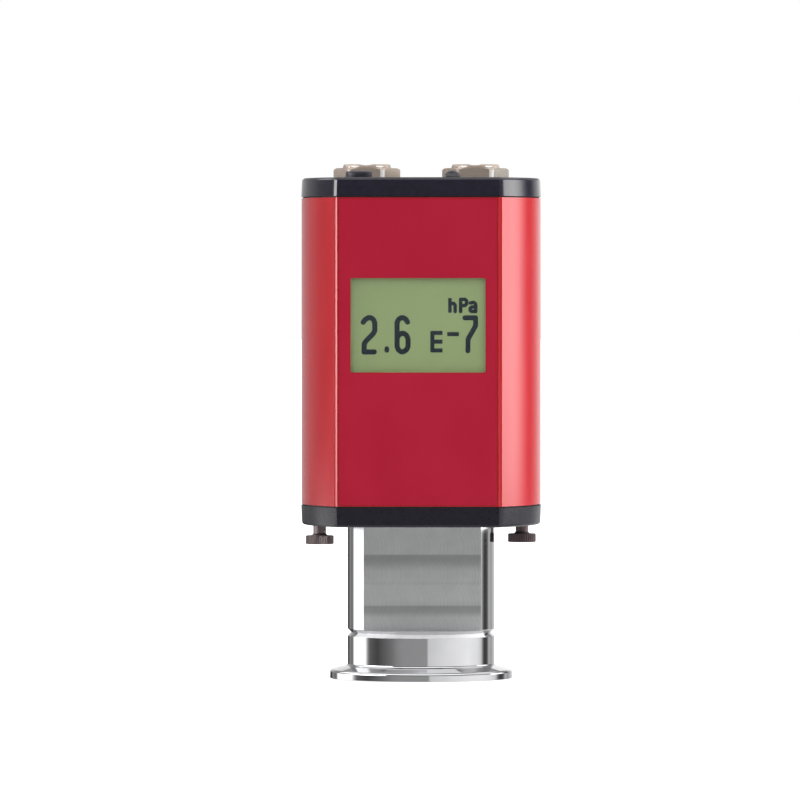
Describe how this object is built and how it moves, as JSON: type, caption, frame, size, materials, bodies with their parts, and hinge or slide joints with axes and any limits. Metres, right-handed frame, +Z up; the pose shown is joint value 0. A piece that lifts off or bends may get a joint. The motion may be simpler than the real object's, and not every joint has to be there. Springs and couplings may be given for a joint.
{
  "type": "vacuum gauge",
  "caption": "Compact digital vacuum gauge: a steel tube with a clamp flange under a crimson housing with a display, black end caps, round sockets on top and knurled screws beneath.",
  "frame": {"origin": "centre of the clamp flange's sealing face, on the tube's axis", "axes": "+Z up the tube from the flange to the sockets, -Y the side of the display, +X to the right of a viewer who faces the display"},
  "size_m": [0.0728, 0.0724, 0.155],
  "materials": {
    "stainless_steel": "fine turned and milled stainless steel",
    "steel_wire": "drawn wire",
    "screw_steel": "plain steel",
    "black_steel": "blackened steel, satin",
    "bead_glass": "fused glass",
    "crimson_aluminium": "crimson anodised, fine matt",
    "crimson_film": "crimson film, satin",
    "black_plastic": "moulded, finely textured",
    "black_rubber": "matt",
    "clear_pane": "clear, gloss",
    "display_green": "reflective liquid-crystal display",
    "frame_plastic": "moulded",
    "board_laminate": "solder resist",
    "component_plastic": "moulded",
    "nickel": "nickel plated, satin",
    "insert_plastic": "moulded",
    "contact_brass": "gold plated",
    "plug_plastic": "moulded, semi-gloss",
    "lens_plastic": "smoky clear",
    "lamp_plastic": "moulded"
  },
  "bodies": {
    "root": {"address_switch": "component_plastic", "baffle": "stainless_steel", "baffle_screws": "screw_steel", "board_plug": "component_plastic", "bottom_cap": "black_plastic", "bottom_gasket": "black_rubber", "connector_board": "board_laminate", "display_board": "board_laminate", "display_cell": "display_green", "display_frame": "frame_plastic", "display_window": "clear_pane", "front_label": "crimson_film", "header_beads": "bead_glass", "header_pins": "steel_wire", "header_plate": "stainless_steel", "hot_filament": "steel_wire", "housing_shell": "crimson_aluminium", "ion_collector": "steel_wire", "ioniser_grid": "steel_wire", "left_socket_contacts": "contact_brass", "left_socket_insert": "insert_plastic", "left_socket_nut": "nickel", "left_socket_shell": "nickel", "left_thumb_screw": "black_steel", "link_header": "component_plastic", "main_board": "board_laminate", "main_board_parts": "component_plastic", "pirani_wire": "steel_wire", "plate_screws": "screw_steel", "right_socket_contacts": "contact_brass", "right_socket_insert": "insert_plastic", "right_socket_nut": "nickel", "right_socket_shell": "nickel", "right_thumb_screw": "black_steel", "sensor_board": "board_laminate", "sensor_body": "stainless_steel", "sensor_plug": "component_plastic", "sensor_socket": "component_plastic", "status_lamp": "lamp_plastic", "status_lens": "lens_plastic", "switch_plug": "plug_plastic", "top_cap": "black_plastic", "top_cap_screws": "screw_steel", "top_gasket": "black_rubber"}
  },
  "joints": []
}
